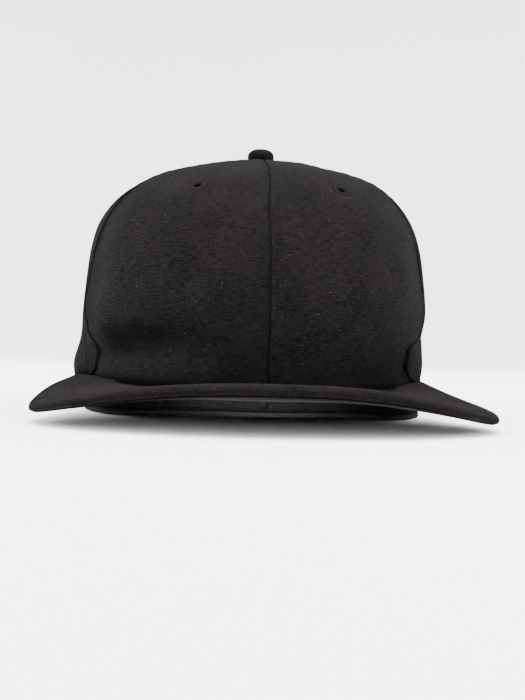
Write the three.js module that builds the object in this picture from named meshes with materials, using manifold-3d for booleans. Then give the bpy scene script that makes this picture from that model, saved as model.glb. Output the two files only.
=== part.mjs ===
// Fitted baseball cap: six crown panels, a flat visor, an inner sweatband, a top button and six
// sewn eyelets. Millimetres, +Z up. The visor points along -Y, +X is the right-hand side seen from
// the front, and the origin lies on the floor under the middle of the whole cap.

import * as THREE from 'three';
import { mergeVertices } from 'three/addons/utils/BufferGeometryUtils.js';
import Module from 'manifold-3d';

const wasm = await Module();
wasm.setup();

// Driving dimensions of the crown
const clothWall = 2;               // thickness of a crown panel
const pieceGap = 0.3;              // air between neighbouring pieces
const planSquareness = 2.15;       // 2 is an ellipse, more is squarer seen from above
const crownTopRadius = 3;          // the panels stop here, under the button
const visorReach = 168;            // crown centre to the visor's front edge
const rearReach = 99;              // crown centre to the back of the crown
const crownCentreY = (visorReach - rearReach) / 2;

// Crown sections from the lower edge up: height, and the half-widths to the side, front and rear
const crownSections = [
  { height: 0.0, side: 79.8, front: 96.6, rear: 96.8 },
  { height: 18.0, side: 81.0, front: 97.8, rear: 98.6 },
  { height: 33.0, side: 81.2, front: 97.4, rear: 99.0 },
  { height: 48.0, side: 81.1, front: 95.8, rear: 98.4 },
  { height: 62.0, side: 80.0, front: 92.6, rear: 96.0 },
  { height: 76.0, side: 78.0, front: 87.6, rear: 91.0 },
  { height: 88.0, side: 74.4, front: 80.0, rear: 83.0 },
  { height: 98.0, side: 68.0, front: 69.5, rear: 72.0 },
  { height: 105.5, side: 59.0, front: 58.0, rear: 59.5 },
  { height: 110.6, side: 47.5, front: 46.5, rear: 47.0 },
  { height: 114.4, side: 34.5, front: 34.0, rear: 34.0 },
  { height: 117.6, side: 21.5, front: 21.5, rear: 21.5 },
  { height: 119.9, side: 9.0, front: 9.0, rear: 9.0 },
  { height: 120.6, side: crownTopRadius, front: crownTopRadius, rear: crownTopRadius },
];

// Dents and bulges pressed into the crown. Angle is in degrees round from the front, positive to
// +X, and depth is positive outwards.
const crownFolds = [
  { what: 'pinch above the left visor corner', angle: -63, height: 37, across: 9, tall: 6.5, depth: -2.2 },
  { what: 'pinch above the right visor corner', angle: 66, height: 35, across: 14, tall: 8, depth: -2.4 },
  { what: 'left side seam tucked in', angle: -57, height: 22, across: 6, tall: 9, depth: -2.0 },
  { what: 'right side seam tucked in', angle: 55, height: 21, across: 7, tall: 9, depth: -2.6 },
  { what: 'left side panel standing out', angle: -80, height: 20, across: 14, tall: 10.5, depth: 3.8 },
  { what: 'right side panel drawn in', angle: 80, height: 13, across: 16, tall: 10, depth: -2.6 },
  { what: 'crease low on the left front', angle: -37, height: 29, across: 17, tall: 6.5, depth: -5.0 },
  { what: 'cloth full above the crease', angle: -36, height: 42, across: 22, tall: 8, depth: 1.4 },
  { what: 'and below it', angle: -36, height: 16, across: 18, tall: 6, depth: 0.9 },
  { what: 'hollow low on the right front', angle: 34, height: 13, across: 22, tall: 12, depth: -4.2 },
  { what: 'cloth full above the hollow', angle: 34, height: 38, across: 24, tall: 10, depth: 1.2 },
];

// Upright gathers where the side panels are drawn in behind the visor corners. They run from the
// side seam to endAngle, a pitch apart, both in degrees round the crown.
const gather = { endAngle: 92, pitch: 4.1, depth: 0.5, height: 17, tall: 13 };

// The seams, in degrees round from the front, at the lower edge and at the button. The front seam
// sits a little off the middle, as the crown is slightly twisted. Sweep is how far a side seam
// bends forwards beside the visor corner, round about the height given with it.
const seams = {
  leftSide: { base: -66.5, top: -60, sweep: 11.5, height: 22.5, tall: 10.5 },
  front: { base: 0.9, top: 1.1, sweep: 0 },
  rightSide: { base: 60, top: 59.5, sweep: 15.5, height: 26, tall: 10 },
  rightRear: { base: 123, top: 120, sweep: 0 },
  back: { base: 180, top: 180, sweep: 0 },
  backAgain: { base: -180, top: -180, sweep: 0 },
  leftRear: { base: -123, top: -120, sweep: 0 },
};
const seamTurn = { start: 0.2, end: 0.5 };    // shares of the height between which the angle changes

// The lower edge lies flat on the floor except at the front, where the visor lifts it
const frontLift = { rise: 2.5, fullAngle: 12, endAngle: 52, fadeHeight: 40 };

// The button sits a little off the middle, towards +X, and the top of the crown leans with it
const topLean = { across: 1.9, start: 84, end: 116 };

// The visor: a covered board. Its rim runs from the corner on -X round the front to the corner on
// +X, and it droops a little more on +X.
const visor = {
  thickness: 4.6,
  cornerThickness: 2.6,
  cornerAngle: 71,       // where the visor ends, in degrees round the crown
  cornerShare: 0.985,    // how much of its length is built before the two corners close to nothing
  rootFront: 13.2,       // height of its upper face against the crown, at the front
  rootCorner: 16.6,      // and at the corners
};
const visorRim = [
  { across: -88.0, ahead: 72, top: 12.6 },
  { across: -90.2, ahead: 99, top: 8.9 },
  { across: -87.8, ahead: 119, top: 8.2 },
  { across: -80.0, ahead: 134.5, top: 9.8 },
  { across: -66.6, ahead: 147.5, top: 12.4 },
  { across: -50.0, ahead: 158, top: 15.3 },
  { across: -27.0, ahead: 165.7, top: 17.6 },
  { across: 0.0, ahead: visorReach, top: 18.2 },
  { across: 27.0, ahead: 165.7, top: 17.4 },
  { across: 50.0, ahead: 158, top: 14.7 },
  { across: 66.6, ahead: 147.5, top: 11.2 },
  { across: 80.0, ahead: 134.5, top: 8.4 },
  { across: 87.8, ahead: 119, top: 7.0 },
  { across: 90.2, ahead: 99, top: 7.6 },
  { across: 85.0, ahead: 70, top: 10.8 },
];

// The sweatband: a band inside the crown with its fold turned out under the crown's edge
const sweatband = {
  thickness: 1.5, tall: 30, foldThick: 2.2, foldSetBack: 0.5, foldRound: 0.6, clearance: 1.2,
};
const tuckHeights = [10, 16, 22, 28, 34];     // the band is tucked in past the deepest dent at these heights

// The button and the eyelets
const button = { radius: 6.3, base: 121.0, top: 126.4, shankRadius: 2.4, shankDepth: 4 };
const eyelet = { height: 98.5, ringRadius: 2.9, threadRadius: 0.95, proud: 0.45, sides: 12, sectionSides: 6 };

const degree = Math.PI / 180;
const cloth = { color: 0x262427, roughness: 0.92, metalness: 0 };
const thread = { color: 0x1f1d20, roughness: 0.7, metalness: 0 };
const bandCloth = { color: 0x1b1a1c, roughness: 0.95, metalness: 0 };

const bump = (distance, spread) => Math.exp(-((distance / spread) ** 2));
const smoothStep = (from, to, value) => THREE.MathUtils.smoothstep(value, from, to);

const curveThrough = (points) => new THREE.CatmullRomCurve3(points, false, 'catmullrom', 0.5);
const widthCurve = curveThrough(crownSections.map((s) => new THREE.Vector3(s.side, s.front, s.rear)));
const heightCurve = curveThrough(crownSections.map((s) => new THREE.Vector3(0, 0, s.height)));

// Share along the sections, from 0 at the lower edge to 1 at the button, where a height is reached
function shareAtHeight(height) {
  let low = 0;
  let high = 1;
  for (let step = 0; step < 30; step += 1) {
    const middle = (low + high) / 2;
    if (heightCurve.getPoint(middle).z < height) low = middle;
    else high = middle;
  }
  return (low + high) / 2;
}

// How far the lower edge is lifted at an angle round the crown
function edgeLift(angle) {
  return frontLift.rise * (1 - smoothStep(frontLift.fullAngle, frontLift.endAngle, Math.abs(angle)));
}

// Dents and bulges at an angle and height
function foldDepth(angle, height) {
  let depth = 0;
  for (const fold of crownFolds) {
    depth += fold.depth * bump(height - fold.height, fold.tall) * bump(angle - fold.angle, fold.across);
  }
  return depth;
}

// The angle of a seam at a share of the height, swept forwards beside the visor corner
function seamAngle(seam, share) {
  const turn = smoothStep(seamTurn.start, seamTurn.end, share);
  const off = seam.sweep ? (heightCurve.getPoint(share).z - seam.height) / seam.tall : 0;
  const bend = seam.sweep * Math.exp(-(off ** 4));
  return THREE.MathUtils.lerp(seam.base, seam.top, turn) - Math.sign(seam.base) * bend;
}

// Upright ribs of the gathers, from the side seam back
function gatherDepth(angle, share, height) {
  const seam = angle < 0 ? seams.leftSide : seams.rightSide;
  const start = Math.abs(seamAngle(seam, share));
  const behind = Math.abs(angle) - start;
  if (behind < 0 || Math.abs(angle) > gather.endAngle) return 0;
  const ribs = Math.abs(Math.sin((Math.PI * (gather.endAngle - Math.abs(angle))) / gather.pitch)) - 0.5;
  const fade = smoothStep(0, 4, behind) * (1 - behind / (gather.endAngle - start));
  return 2 * gather.depth * ribs * fade * bump(height - gather.height, gather.tall);
}

// Radius of the plain crown, with no folds, at an angle round from the front
function plainRadius(angle, share) {
  const widths = widthCurve.getPoint(share);
  const sine = Math.abs(Math.sin(angle * degree));
  const cosine = Math.cos(angle * degree);
  const lengthwise = cosine > 0 ? widths.y : widths.z;
  const sum = (sine / widths.x) ** planSquareness + (Math.abs(cosine) / lengthwise) ** planSquareness;
  return sum ** (-1 / planSquareness);
}

function placeRound(angle, radius, height) {
  const turned = angle * degree;
  return new THREE.Vector3(radius * Math.sin(turned), crownCentreY - radius * Math.cos(turned), height);
}

// A point on the outside of the crown; the edge offset leaves room for the sweatband's fold
function crownPoint(angle, share) {
  const sectionHeight = heightCurve.getPoint(share).z;
  const edge = sweatband.foldThick + pieceGap + edgeLift(angle);
  const height = sectionHeight + edge * Math.max(0, 1 - sectionHeight / frontLift.fadeHeight);
  const radius = plainRadius(angle, share) + foldDepth(angle, height) + gatherDepth(angle, share, height);
  const place = placeRound(angle, radius, height);
  place.x += topLean.across * smoothStep(topLean.start, topLean.end, height);
  return place;
}

function crownNormal(angle, share) {
  const step = 0.002;
  const low = Math.max(0, share - step);
  const high = Math.min(1, share + step);
  const across = crownPoint(angle + 0.2, share).sub(crownPoint(angle - 0.2, share));
  const up = crownPoint(angle, high).sub(crownPoint(angle, low));
  return across.cross(up).normalize();
}

// A closed mesh from points and triangles, turned so that its faces point outwards
function closedGeometry(points, triangles) {
  let volume = 0;
  for (const [a, b, c] of triangles) {
    volume += points[a].dot(points[b].clone().cross(points[c]));
  }
  const faces = volume > 0 ? triangles : triangles.map(([a, b, c]) => [a, c, b]);
  const positions = points.flatMap((point) => point.toArray());
  const geometry = new THREE.BufferGeometry();
  geometry.setAttribute('position', new THREE.Float32BufferAttribute(positions, 3));
  geometry.setIndex(faces.flat());
  geometry.computeVertexNormals();
  return geometry;
}

// Closed wall between an outer and an inner grid of points with the same rows and columns
function wallBetween(outer, inner) {
  const rows = outer.length;
  const columns = outer[0].length;
  const points = [...outer.flat(), ...inner.flat()];
  const triangles = [];
  const outside = (row, column) => row * columns + column;
  const inside = (row, column) => rows * columns + row * columns + column;
  const quad = (a, b, c, d) => triangles.push([a, b, c], [a, c, d]);
  for (let row = 0; row < rows - 1; row += 1) {
    for (let column = 0; column < columns - 1; column += 1) {
      const next = column + 1;
      quad(outside(row, column), outside(row, next), outside(row + 1, next), outside(row + 1, column));
      quad(inside(row, column), inside(row + 1, column), inside(row + 1, next), inside(row, next));
    }
  }
  for (let column = 0; column < columns - 1; column += 1) {
    quad(inside(0, column), inside(0, column + 1), outside(0, column + 1), outside(0, column));
    const top = rows - 1;
    quad(outside(top, column), outside(top, column + 1), inside(top, column + 1), inside(top, column));
  }
  for (let row = 0; row < rows - 1; row += 1) {
    const end = columns - 1;
    quad(outside(row, 0), outside(row + 1, 0), inside(row + 1, 0), inside(row, 0));
    quad(inside(row, end), inside(row + 1, end), outside(row + 1, end), outside(row, end));
  }
  return closedGeometry(points, triangles);
}

// Closed body from a row of cross-sections with the same number of points, capped or joined round
function loftSections(sections, joinedRound) {
  const count = sections[0].length;
  const points = sections.flat();
  const triangles = [];
  const spans = joinedRound ? sections.length : sections.length - 1;
  for (let span = 0; span < spans; span += 1) {
    const here = span * count;
    const next = ((span + 1) % sections.length) * count;
    for (let corner = 0; corner < count; corner += 1) {
      const after = (corner + 1) % count;
      triangles.push([here + corner, here + after, next + after]);
      triangles.push([here + corner, next + after, next + corner]);
    }
  }
  if (!joinedRound) {
    const last = (sections.length - 1) * count;
    for (let corner = 1; corner < count - 1; corner += 1) {
      triangles.push([0, corner + 1, corner], [last, last + corner, last + corner + 1]);
    }
  }
  return closedGeometry(points, triangles);
}

// Shares along the crown's height where a panel has a row of points, closer near the folds
const panelHeights = [0, 5, 10, 15, 20, 25, 30, 36, 43, 54, 67, 79, 89, 97, 104, 109.5, 114];
const panelShares = [...panelHeights.map(shareAtHeight), 1];
panelShares[0] = 0;

// Columns of a panel, as shares of the way from its first seam to its second
const evenColumns = (count) => Array.from({ length: count + 1 }, (_, index) => index / count);

// Half the air gap at a seam, in degrees round the crown, wider where the seam runs aslant
function halfGapAngle(seam, share) {
  const low = Math.max(0, share - 0.004);
  const high = Math.min(1, share + 0.004);
  const angle = seamAngle(seam, share);
  const radius = plainRadius(angle, share);
  const up = crownPoint(angle, high).distanceTo(crownPoint(angle, low));
  const aside = (seamAngle(seam, high) - seamAngle(seam, low)) * degree * radius;
  return ((pieceGap / 2) * Math.hypot(1, aside / up)) / (radius * degree);
}

// Angles of a panel's two edges, with half the air gap taken off at each seam
function panelEdges(panel, share) {
  const start = seamAngle(panel.from, share) + halfGapAngle(panel.from, share);
  const end = seamAngle(panel.to, share) - halfGapAngle(panel.to, share);
  return [start, end];
}

// Angles of a panel's columns. A side panel has two to a rib where it is gathered, upright, so only
// the columns between them and the swept seam follow its bend.
function columnAngles(panel, share) {
  const [start, end] = panelEdges(panel, share);
  const spread = (from, to, count) => evenColumns(count).map((part) => THREE.MathUtils.lerp(from, to, part));
  if (!panel.gathered) return spread(start, end, panel.columns);
  const hand = Math.sign(panel.from.base);
  const [near, far] = hand > 0 ? [start, end] : [end, start];
  const ribSteps = 11;
  const firstRib = gather.endAngle - (ribSteps * gather.pitch) / 2;
  const angles = [
    ...spread(near, hand * firstRib, 5).slice(0, -1),
    ...spread(hand * firstRib, hand * gather.endAngle, ribSteps),
    ...spread(hand * gather.endAngle, far, 5).slice(1),
  ];
  return hand > 0 ? angles : angles.reverse();
}

function panelGeometry(panel) {
  const outer = [];
  const inner = [];
  for (const share of panelShares) {
    const outerRow = [];
    const innerRow = [];
    for (const angle of columnAngles(panel, share)) {
      const point = crownPoint(angle, share);
      outerRow.push(point);
      const normal = crownNormal(angle, share);
      if (share === 0) normal.setZ(0).normalize();
      innerRow.push(point.clone().addScaledVector(normal, -clothWall));
    }
    outer.push(outerRow);
    inner.push(innerRow);
  }
  return wallBetween(outer, inner);
}

// The same surface with its shared corners made one, as a closed body needs
function mergedCorners(geometry) {
  const bare = geometry.clone();
  bare.deleteAttribute('normal');
  bare.deleteAttribute('uv');
  const merged = mergeVertices(bare, 1e-4);
  merged.computeVertexNormals();
  return merged;
}

function solidOf(geometry) {
  const merged = mergedCorners(geometry);
  const mesh = new wasm.Mesh({
    numProp: 3,
    vertProperties: new Float32Array(merged.attributes.position.array),
    triVerts: new Uint32Array(merged.index.array),
  });
  return new wasm.Manifold(mesh);
}

function geometryOf(solid) {
  const mesh = solid.getMesh();
  const geometry = new THREE.BufferGeometry();
  geometry.setAttribute('position', new THREE.BufferAttribute(new Float32Array(mesh.vertProperties), 3));
  geometry.setIndex([...mesh.triVerts]);
  geometry.computeVertexNormals();
  return geometry;
}

// Where a panel's eyelet lies and the direction it faces
function eyeletSeat(panel) {
  const share = shareAtHeight(eyelet.height);
  const angle = THREE.MathUtils.lerp(...panelEdges(panel, share), panel.eyeletAt);
  const normal = crownNormal(angle, share);
  const centre = crownPoint(angle, share).addScaledVector(normal, -clothWall / 2);
  return { centre, turn: new THREE.Quaternion().setFromUnitVectors(new THREE.Vector3(0, 0, 1), normal) };
}

function seatMatrix(seat) {
  return new THREE.Matrix4().compose(seat.centre, seat.turn, new THREE.Vector3(1, 1, 1));
}

// The hole that an eyelet fills, cut right through the panel
function withEyeletHole(geometry, seat) {
  const radius = eyelet.ringRadius + eyelet.threadRadius + pieceGap;
  const drill = new THREE.CylinderGeometry(radius, radius, clothWall * 4, eyelet.sides);
  drill.rotateX(Math.PI / 2);
  drill.applyMatrix4(seatMatrix(seat));
  return geometryOf(solidOf(geometry).subtract(solidOf(drill)));
}

// A ring of thread, oval in section so that it stands a little proud of both faces
function eyeletGeometry() {
  const profile = [];
  for (let corner = 0; corner <= eyelet.sectionSides; corner += 1) {
    const turn = (corner / eyelet.sectionSides) * 2 * Math.PI;
    const height = (clothWall / 2 + eyelet.proud) * Math.sin(turn);
    profile.push(new THREE.Vector2(eyelet.ringRadius + eyelet.threadRadius * Math.cos(turn), height));
  }
  const ring = new THREE.LatheGeometry(profile, eyelet.sides);
  ring.rotateX(Math.PI / 2);
  return mergedCorners(ring);
}

// The visor's rim and root, as curves from the corner on -X round the front to the corner on +X
const rootTop = (angle) => {
  const share = smoothStep(0, visor.cornerAngle, Math.abs(angle));
  return THREE.MathUtils.lerp(visor.rootFront, visor.rootCorner, share);
};

function rootPoint(share) {
  const angle = share * visor.cornerAngle;
  const height = rootTop(angle);
  const under = placedRadius(angle, height - visor.thickness);
  const over = placedRadius(angle, height);
  return placeRound(angle, Math.max(under, over) + pieceGap + gather.depth * Math.abs(share) ** 8, height);
}

// Radius of the finished crown, folds included, at a real height above the floor
function placedRadius(angle, height) {
  const edge = sweatband.foldThick + pieceGap + edgeLift(angle);
  const sectionHeight = (height - edge) / (1 - edge / frontLift.fadeHeight);
  return plainRadius(angle, shareAtHeight(Math.max(0, sectionHeight))) + foldDepth(angle, height);
}

function rimCurve() {
  const rim = visorRim.map((row) => new THREE.Vector3(row.across, crownCentreY - row.ahead, row.top));
  return new THREE.CatmullRomCurve3([rootPoint(-1), ...rim, rootPoint(1)], false, 'centripetal');
}

// Cross-sections of the visor from root to rim: flat over the top, rounded at the rim, flat below
function visorGeometry() {
  const rim = rimCurve();
  const stations = 40;
  const acrossShares = [0, 0.33, 0.67, 1];
  const rimTurns = [70, 40, 10, -20, -50, -80];
  const sections = [];
  for (let station = 0; station <= stations; station += 1) {
    const share = THREE.MathUtils.lerp(-visor.cornerShare, visor.cornerShare, station / stations);
    const root = rootPoint(share);
    const edge = rim.getPointAt((share + 1) / 2);
    const outward = edge.clone().sub(root);
    const length = outward.length();
    outward.normalize();
    const thickness = THREE.MathUtils.lerp(visor.thickness, visor.cornerThickness, Math.abs(share) ** 20);
    const half = thickness / 2;
    const roundOff = Math.min(half, length / 3);
    const flatLength = length - roundOff;
    const at = (along, drop) => {
      const point = root.clone().addScaledVector(outward, along);
      return point.setZ(point.z - drop);
    };
    const over = acrossShares.map((s) => at(s * flatLength, 0));
    const round = rimTurns.map((turn) => {
      const along = flatLength + roundOff * Math.cos(turn * degree);
      return at(along, half - half * Math.sin(turn * degree));
    });
    const under = acrossShares.toReversed().map((s) => at(s * flatLength, thickness));
    sections.push([...over, ...round, ...under]);
  }
  return loftSections(sections, false);
}

function sweatbandGeometry() {
  const stations = 48;
  const sections = [];
  for (let station = 0; station < stations; station += 1) {
    const angle = (station / stations) * 360 - 180;
    const rise = edgeLift(angle);
    const deepest = Math.min(...tuckHeights.map((height) => foldDepth(angle, height)));
    const outerAt = (inset, height) => {
      const share = shareAtHeight(Math.max(0, height - rise));
      const tuck = height > rise + sweatband.foldThick ? deepest : foldDepth(angle, height);
      return placeRound(angle, plainRadius(angle, share) + Math.min(0, tuck) - inset, height);
    };
    const outside = clothWall + sweatband.clearance;
    const inside = outside + sweatband.thickness;
    const foldTop = rise + sweatband.foldThick;
    const middle = rise + sweatband.tall / 2;
    const top = rise + sweatband.tall;
    sections.push([
      outerAt(sweatband.foldSetBack + sweatband.foldRound, rise),
      outerAt(inside, rise),
      outerAt(inside, middle),
      outerAt(inside, top),
      outerAt(outside, top),
      outerAt(outside, middle),
      outerAt(outside, foldTop),
      outerAt(sweatband.foldSetBack, foldTop),
      outerAt(sweatband.foldSetBack, rise + sweatband.foldRound),
    ]);
  }
  return loftSections(sections, true);
}

// A low cloth-covered dome on a short shank that goes down between the panel tips
function buttonGeometry() {
  const profile = [
    new THREE.Vector2(0, button.base - button.shankDepth),
    new THREE.Vector2(button.shankRadius, button.base - button.shankDepth),
    new THREE.Vector2(button.shankRadius, button.base),
    new THREE.Vector2(button.radius - 0.5, button.base),
  ];
  const domeSteps = 5;
  const domeFoot = button.base + 1;
  for (let step = 0; step <= domeSteps; step += 1) {
    const turn = (step / domeSteps) * (Math.PI / 2);
    const radius = step === domeSteps ? 0 : button.radius * Math.cos(turn) ** 0.75;
    profile.push(new THREE.Vector2(radius, domeFoot + (button.top - domeFoot) * Math.sin(turn)));
  }
  const dome = new THREE.LatheGeometry(profile, 20);
  dome.rotateX(Math.PI / 2);
  dome.translate(topLean.across, crownCentreY, 0);
  return mergedCorners(dome);
}

const cap = new THREE.Group();

function addPiece(name, geometry, look) {
  const piece = new THREE.Mesh(geometry, new THREE.MeshStandardMaterial(look));
  piece.name = name;
  cap.add(piece);
  return piece;
}

const panels = [
  { name: 'front_panel_left', from: seams.leftSide, to: seams.front, columns: 14, eyeletAt: 0.58 },
  { name: 'front_panel_right', from: seams.front, to: seams.rightSide, columns: 14, eyeletAt: 0.46 },
  { name: 'side_panel_left', from: seams.leftRear, to: seams.leftSide, gathered: true, eyeletAt: 0.5 },
  { name: 'side_panel_right', from: seams.rightSide, to: seams.rightRear, gathered: true, eyeletAt: 0.5 },
  { name: 'rear_panel_left', from: seams.backAgain, to: seams.leftRear, columns: 11, eyeletAt: 0.5 },
  { name: 'rear_panel_right', from: seams.rightRear, to: seams.back, columns: 11, eyeletAt: 0.5 },
];

for (const panel of panels) {
  const seat = eyeletSeat(panel);
  addPiece(panel.name, withEyeletHole(panelGeometry(panel), seat), cloth);
  const ring = addPiece(panel.name.replace(/(\w+)_panel/, 'eyelet_$1'), eyeletGeometry(), thread);
  ring.position.copy(seat.centre);
  ring.quaternion.copy(seat.turn);
}

addPiece('brim', visorGeometry(), cloth);
addPiece('sweatband', sweatbandGeometry(), bandCloth);
addPiece('button', buttonGeometry(), cloth);

export default cap;
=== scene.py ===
import math
import random

import bmesh
import bpy
import numpy as np
from mathutils import Matrix, Vector


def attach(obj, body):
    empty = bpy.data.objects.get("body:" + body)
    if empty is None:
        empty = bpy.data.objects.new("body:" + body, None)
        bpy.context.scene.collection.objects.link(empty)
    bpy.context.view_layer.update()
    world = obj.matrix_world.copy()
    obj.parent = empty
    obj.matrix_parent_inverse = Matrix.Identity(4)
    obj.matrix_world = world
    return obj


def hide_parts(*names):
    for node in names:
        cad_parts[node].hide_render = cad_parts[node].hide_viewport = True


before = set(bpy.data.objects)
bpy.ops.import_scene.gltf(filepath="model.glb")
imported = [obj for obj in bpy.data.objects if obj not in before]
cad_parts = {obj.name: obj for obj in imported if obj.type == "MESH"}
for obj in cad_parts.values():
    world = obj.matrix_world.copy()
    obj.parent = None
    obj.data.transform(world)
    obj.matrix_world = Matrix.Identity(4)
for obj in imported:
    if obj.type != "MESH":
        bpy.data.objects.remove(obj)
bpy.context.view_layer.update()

MM = 0.001

# Sizes, in millimetres and degrees, shared with the solids

PLAN_SQUARENESS = 2.15
CROWN_CENTRE_Y = 34.5
CLOTH_WALL = 1.4

# Crown sections from the lower edge up: height, and the half-widths to the side, front and rear
CROWN_SECTIONS = np.array([
    [0.0, 79.8, 96.6, 96.8],
    [18.0, 81.0, 97.8, 98.6],
    [33.0, 81.2, 97.4, 99.0],
    [48.0, 81.1, 95.8, 98.4],
    [62.0, 80.0, 92.6, 96.0],
    [76.0, 78.0, 87.6, 91.0],
    [88.0, 74.4, 80.0, 83.0],
    [98.0, 68.0, 69.5, 72.0],
    [105.5, 59.0, 58.0, 59.5],
    [110.6, 47.5, 46.5, 47.0],
    [114.4, 34.5, 34.0, 34.0],
    [117.6, 21.5, 21.5, 21.5],
    [119.9, 9.0, 9.0, 9.0],
    [120.6, 3.0, 3.0, 3.0],
])

# Dents and bulges: angle round from the front, height, spread across, spread up, depth outwards
CROWN_FOLDS = [
    (-63, 37, 9, 6.5, -2.2),    # pinch above the left visor corner
    (66, 35, 14, 8, -2.4),      # pinch above the right visor corner
    (-57, 22, 6, 9, -2.0),      # left side seam tucked in
    (55, 21, 7, 9, -2.6),       # right side seam tucked in
    (-80, 20, 14, 10.5, 3.8),   # left side panel standing out
    (80, 13, 16, 10, -2.6),     # right side panel drawn in
    (-37, 29, 17, 6.5, -5.0),   # crease low on the left front
    (-36, 42, 22, 8, 1.4),      # cloth full above the crease
    (-36, 16, 18, 6, 0.9),      # and below it
    (34, 13, 22, 12, -4.2),     # hollow low on the right front
    (34, 38, 24, 10, 1.2),      # cloth full above the hollow
]

# Gathers behind the visor's corners: how far round they reach, their pitch and depth, and the height
# and spread that they have
GATHER = {"reach": 34, "pitch": 4.1, "depth": 0.7, "height": 17, "tall": 13}

# Seams: angle at the lower edge, angle at the button, sweep forwards beside the visor corner,
# and the height and spread of that sweep
SEAMS = {
    "left_side": (-66.5, -60, 11.5, 22.5, 10.5),
    "front": (0.9, 1.1, 0, 20, 10),
    "right_side": (60, 59.5, 15.5, 26, 10),
    "right_rear": (123, 120, 0, 20, 10),
    "back": (180, 180, 0, 20, 10),
    "back_again": (-180, -180, 0, 20, 10),
    "left_rear": (-123, -120, 0, 20, 10),
}

# The lower edge rises in front: how far, up to which angle in full, where the rise ends, and the
# height above which the crown takes no part in it
FRONT_LIFT = {"rise": 2.5, "full_angle": 12, "end_angle": 52, "fade_height": 40}
TOP_LEAN = {"across": 1.9, "start": 84, "end": 116}    # the button sits off the middle, towards +X
EDGE_OFFSET = 2.5               # the crown's edge above the floor, where the band's fold is under it

# The covered board, the angle of its corners, and how high its upper face meets the crown
VISOR = {"thickness": 4.6, "corner_thickness": 2.6, "corner_angle": 71,
         "root_front": 13.2, "root_corner": 16.6, "corner_share": 0.99}
VISOR_RIM = [                   # across, ahead of the crown's centre, height of the upper face
    (-88.0, 72, 12.6), (-90.2, 99, 8.9), (-87.8, 119, 8.2), (-80.0, 134.5, 9.8), (-66.6, 147.5, 12.4),
    (-50.0, 158, 15.3), (-27.0, 165.7, 17.6), (0.0, 168, 18.2), (27.0, 165.7, 17.4),
    (50.0, 158, 14.7), (66.6, 147.5, 11.2), (80.0, 134.5, 8.4), (87.8, 119, 7.0), (90.2, 99, 7.6),
    (85.0, 70, 10.8),
]

BAND = {"thickness": 1.5, "tall": 30, "fold": 2.2, "clearance": 1.2}
EYELET_HEIGHT = 98.5


# The crown's surface

def bump(distance, spread):
    return np.exp(-((distance / spread) ** 2))


def smooth_step(start, end, value):
    share = np.clip((value - start) / (end - start), 0, 1)
    return share * share * (3 - 2 * share)


def through(rows, share):
    """Smooth curve through evenly spaced rows of numbers, at shares from 0 to 1."""
    rows = np.asarray(rows, float)
    padded = np.vstack([2 * rows[0] - rows[1], rows, 2 * rows[-1] - rows[-2]])
    place = np.clip(np.asarray(share, float), 0, 1) * (len(rows) - 1)
    step = np.minimum(place.astype(int), len(rows) - 2)
    t = (place - step)[..., None]
    before, start, end, after = (padded[step + k] for k in range(4))
    leave, reach = 0.5 * (end - before), 0.5 * (after - start)
    bend = -3 * start + 3 * end - 2 * leave - reach
    turn = 2 * start - 2 * end + leave + reach
    return start + t * (leave + t * (bend + t * turn))


# How high each share of the way up the sections is
SHARE_TABLE = np.linspace(0, 1, 4001)
HEIGHT_TABLE = through(CROWN_SECTIONS, SHARE_TABLE)[:, 0]


def share_at(height):
    return np.interp(height, HEIGHT_TABLE, SHARE_TABLE)


def edge_lift(angle):
    return FRONT_LIFT["rise"] * (1 - smooth_step(FRONT_LIFT["full_angle"], FRONT_LIFT["end_angle"],
                                                 np.abs(angle)))


def fold_depth(angle, height):
    depth = 0
    for fold_angle, fold_height, across, tall, deep in CROWN_FOLDS:
        depth = depth + deep * bump(height - fold_height, tall) * bump(angle - fold_angle, across)
    return depth


def seam_angle(seam, share):
    base, top, sweep, height, tall = SEAMS[seam]
    turn = smooth_step(0.2, 0.5, share)
    bend = sweep * np.exp(-(((np.interp(share, SHARE_TABLE, HEIGHT_TABLE) - height) / tall) ** 4))
    return base + (top - base) * turn - np.sign(base) * bend


def gather_depth(angle, share, height):
    """Upright ribs where the side panels are drawn in behind the visor's corners."""
    start = np.where(angle < 0, -seam_angle("left_side", share), seam_angle("right_side", share))
    behind = np.abs(angle) - start
    wander = 0.5 * np.sin(height * 0.19 + angle * 0.21) + 0.35 * np.sin(height * 0.43 + angle * 0.1)
    ribs = 0.5 - np.abs(np.sin(math.pi * np.abs(angle) / GATHER["pitch"] + wander))
    ribs = -ribs * (0.8 + 0.5 * np.sin(angle * 0.9 + 0.7))
    fade = smooth_step(0, 4, behind) * np.clip(1 - behind / GATHER["reach"], 0, 1)
    return GATHER["depth"] * 2 * ribs * fade * bump(height - GATHER["height"], GATHER["tall"])


def plain_radius(angle, share):
    widths = through(CROWN_SECTIONS, share)
    sine = np.abs(np.sin(np.radians(angle)))
    cosine = np.cos(np.radians(angle))
    lengthwise = np.where(cosine > 0, widths[..., 2], widths[..., 3])
    total = (sine / widths[..., 1]) ** PLAN_SQUARENESS + (np.abs(cosine) / lengthwise) ** PLAN_SQUARENESS
    return total ** (-1 / PLAN_SQUARENESS)


def place_round(angle, radius, height):
    turned = np.radians(angle)
    return np.stack([radius * np.sin(turned), CROWN_CENTRE_Y - radius * np.cos(turned),
                     height + 0 * turned], axis=-1)


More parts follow.
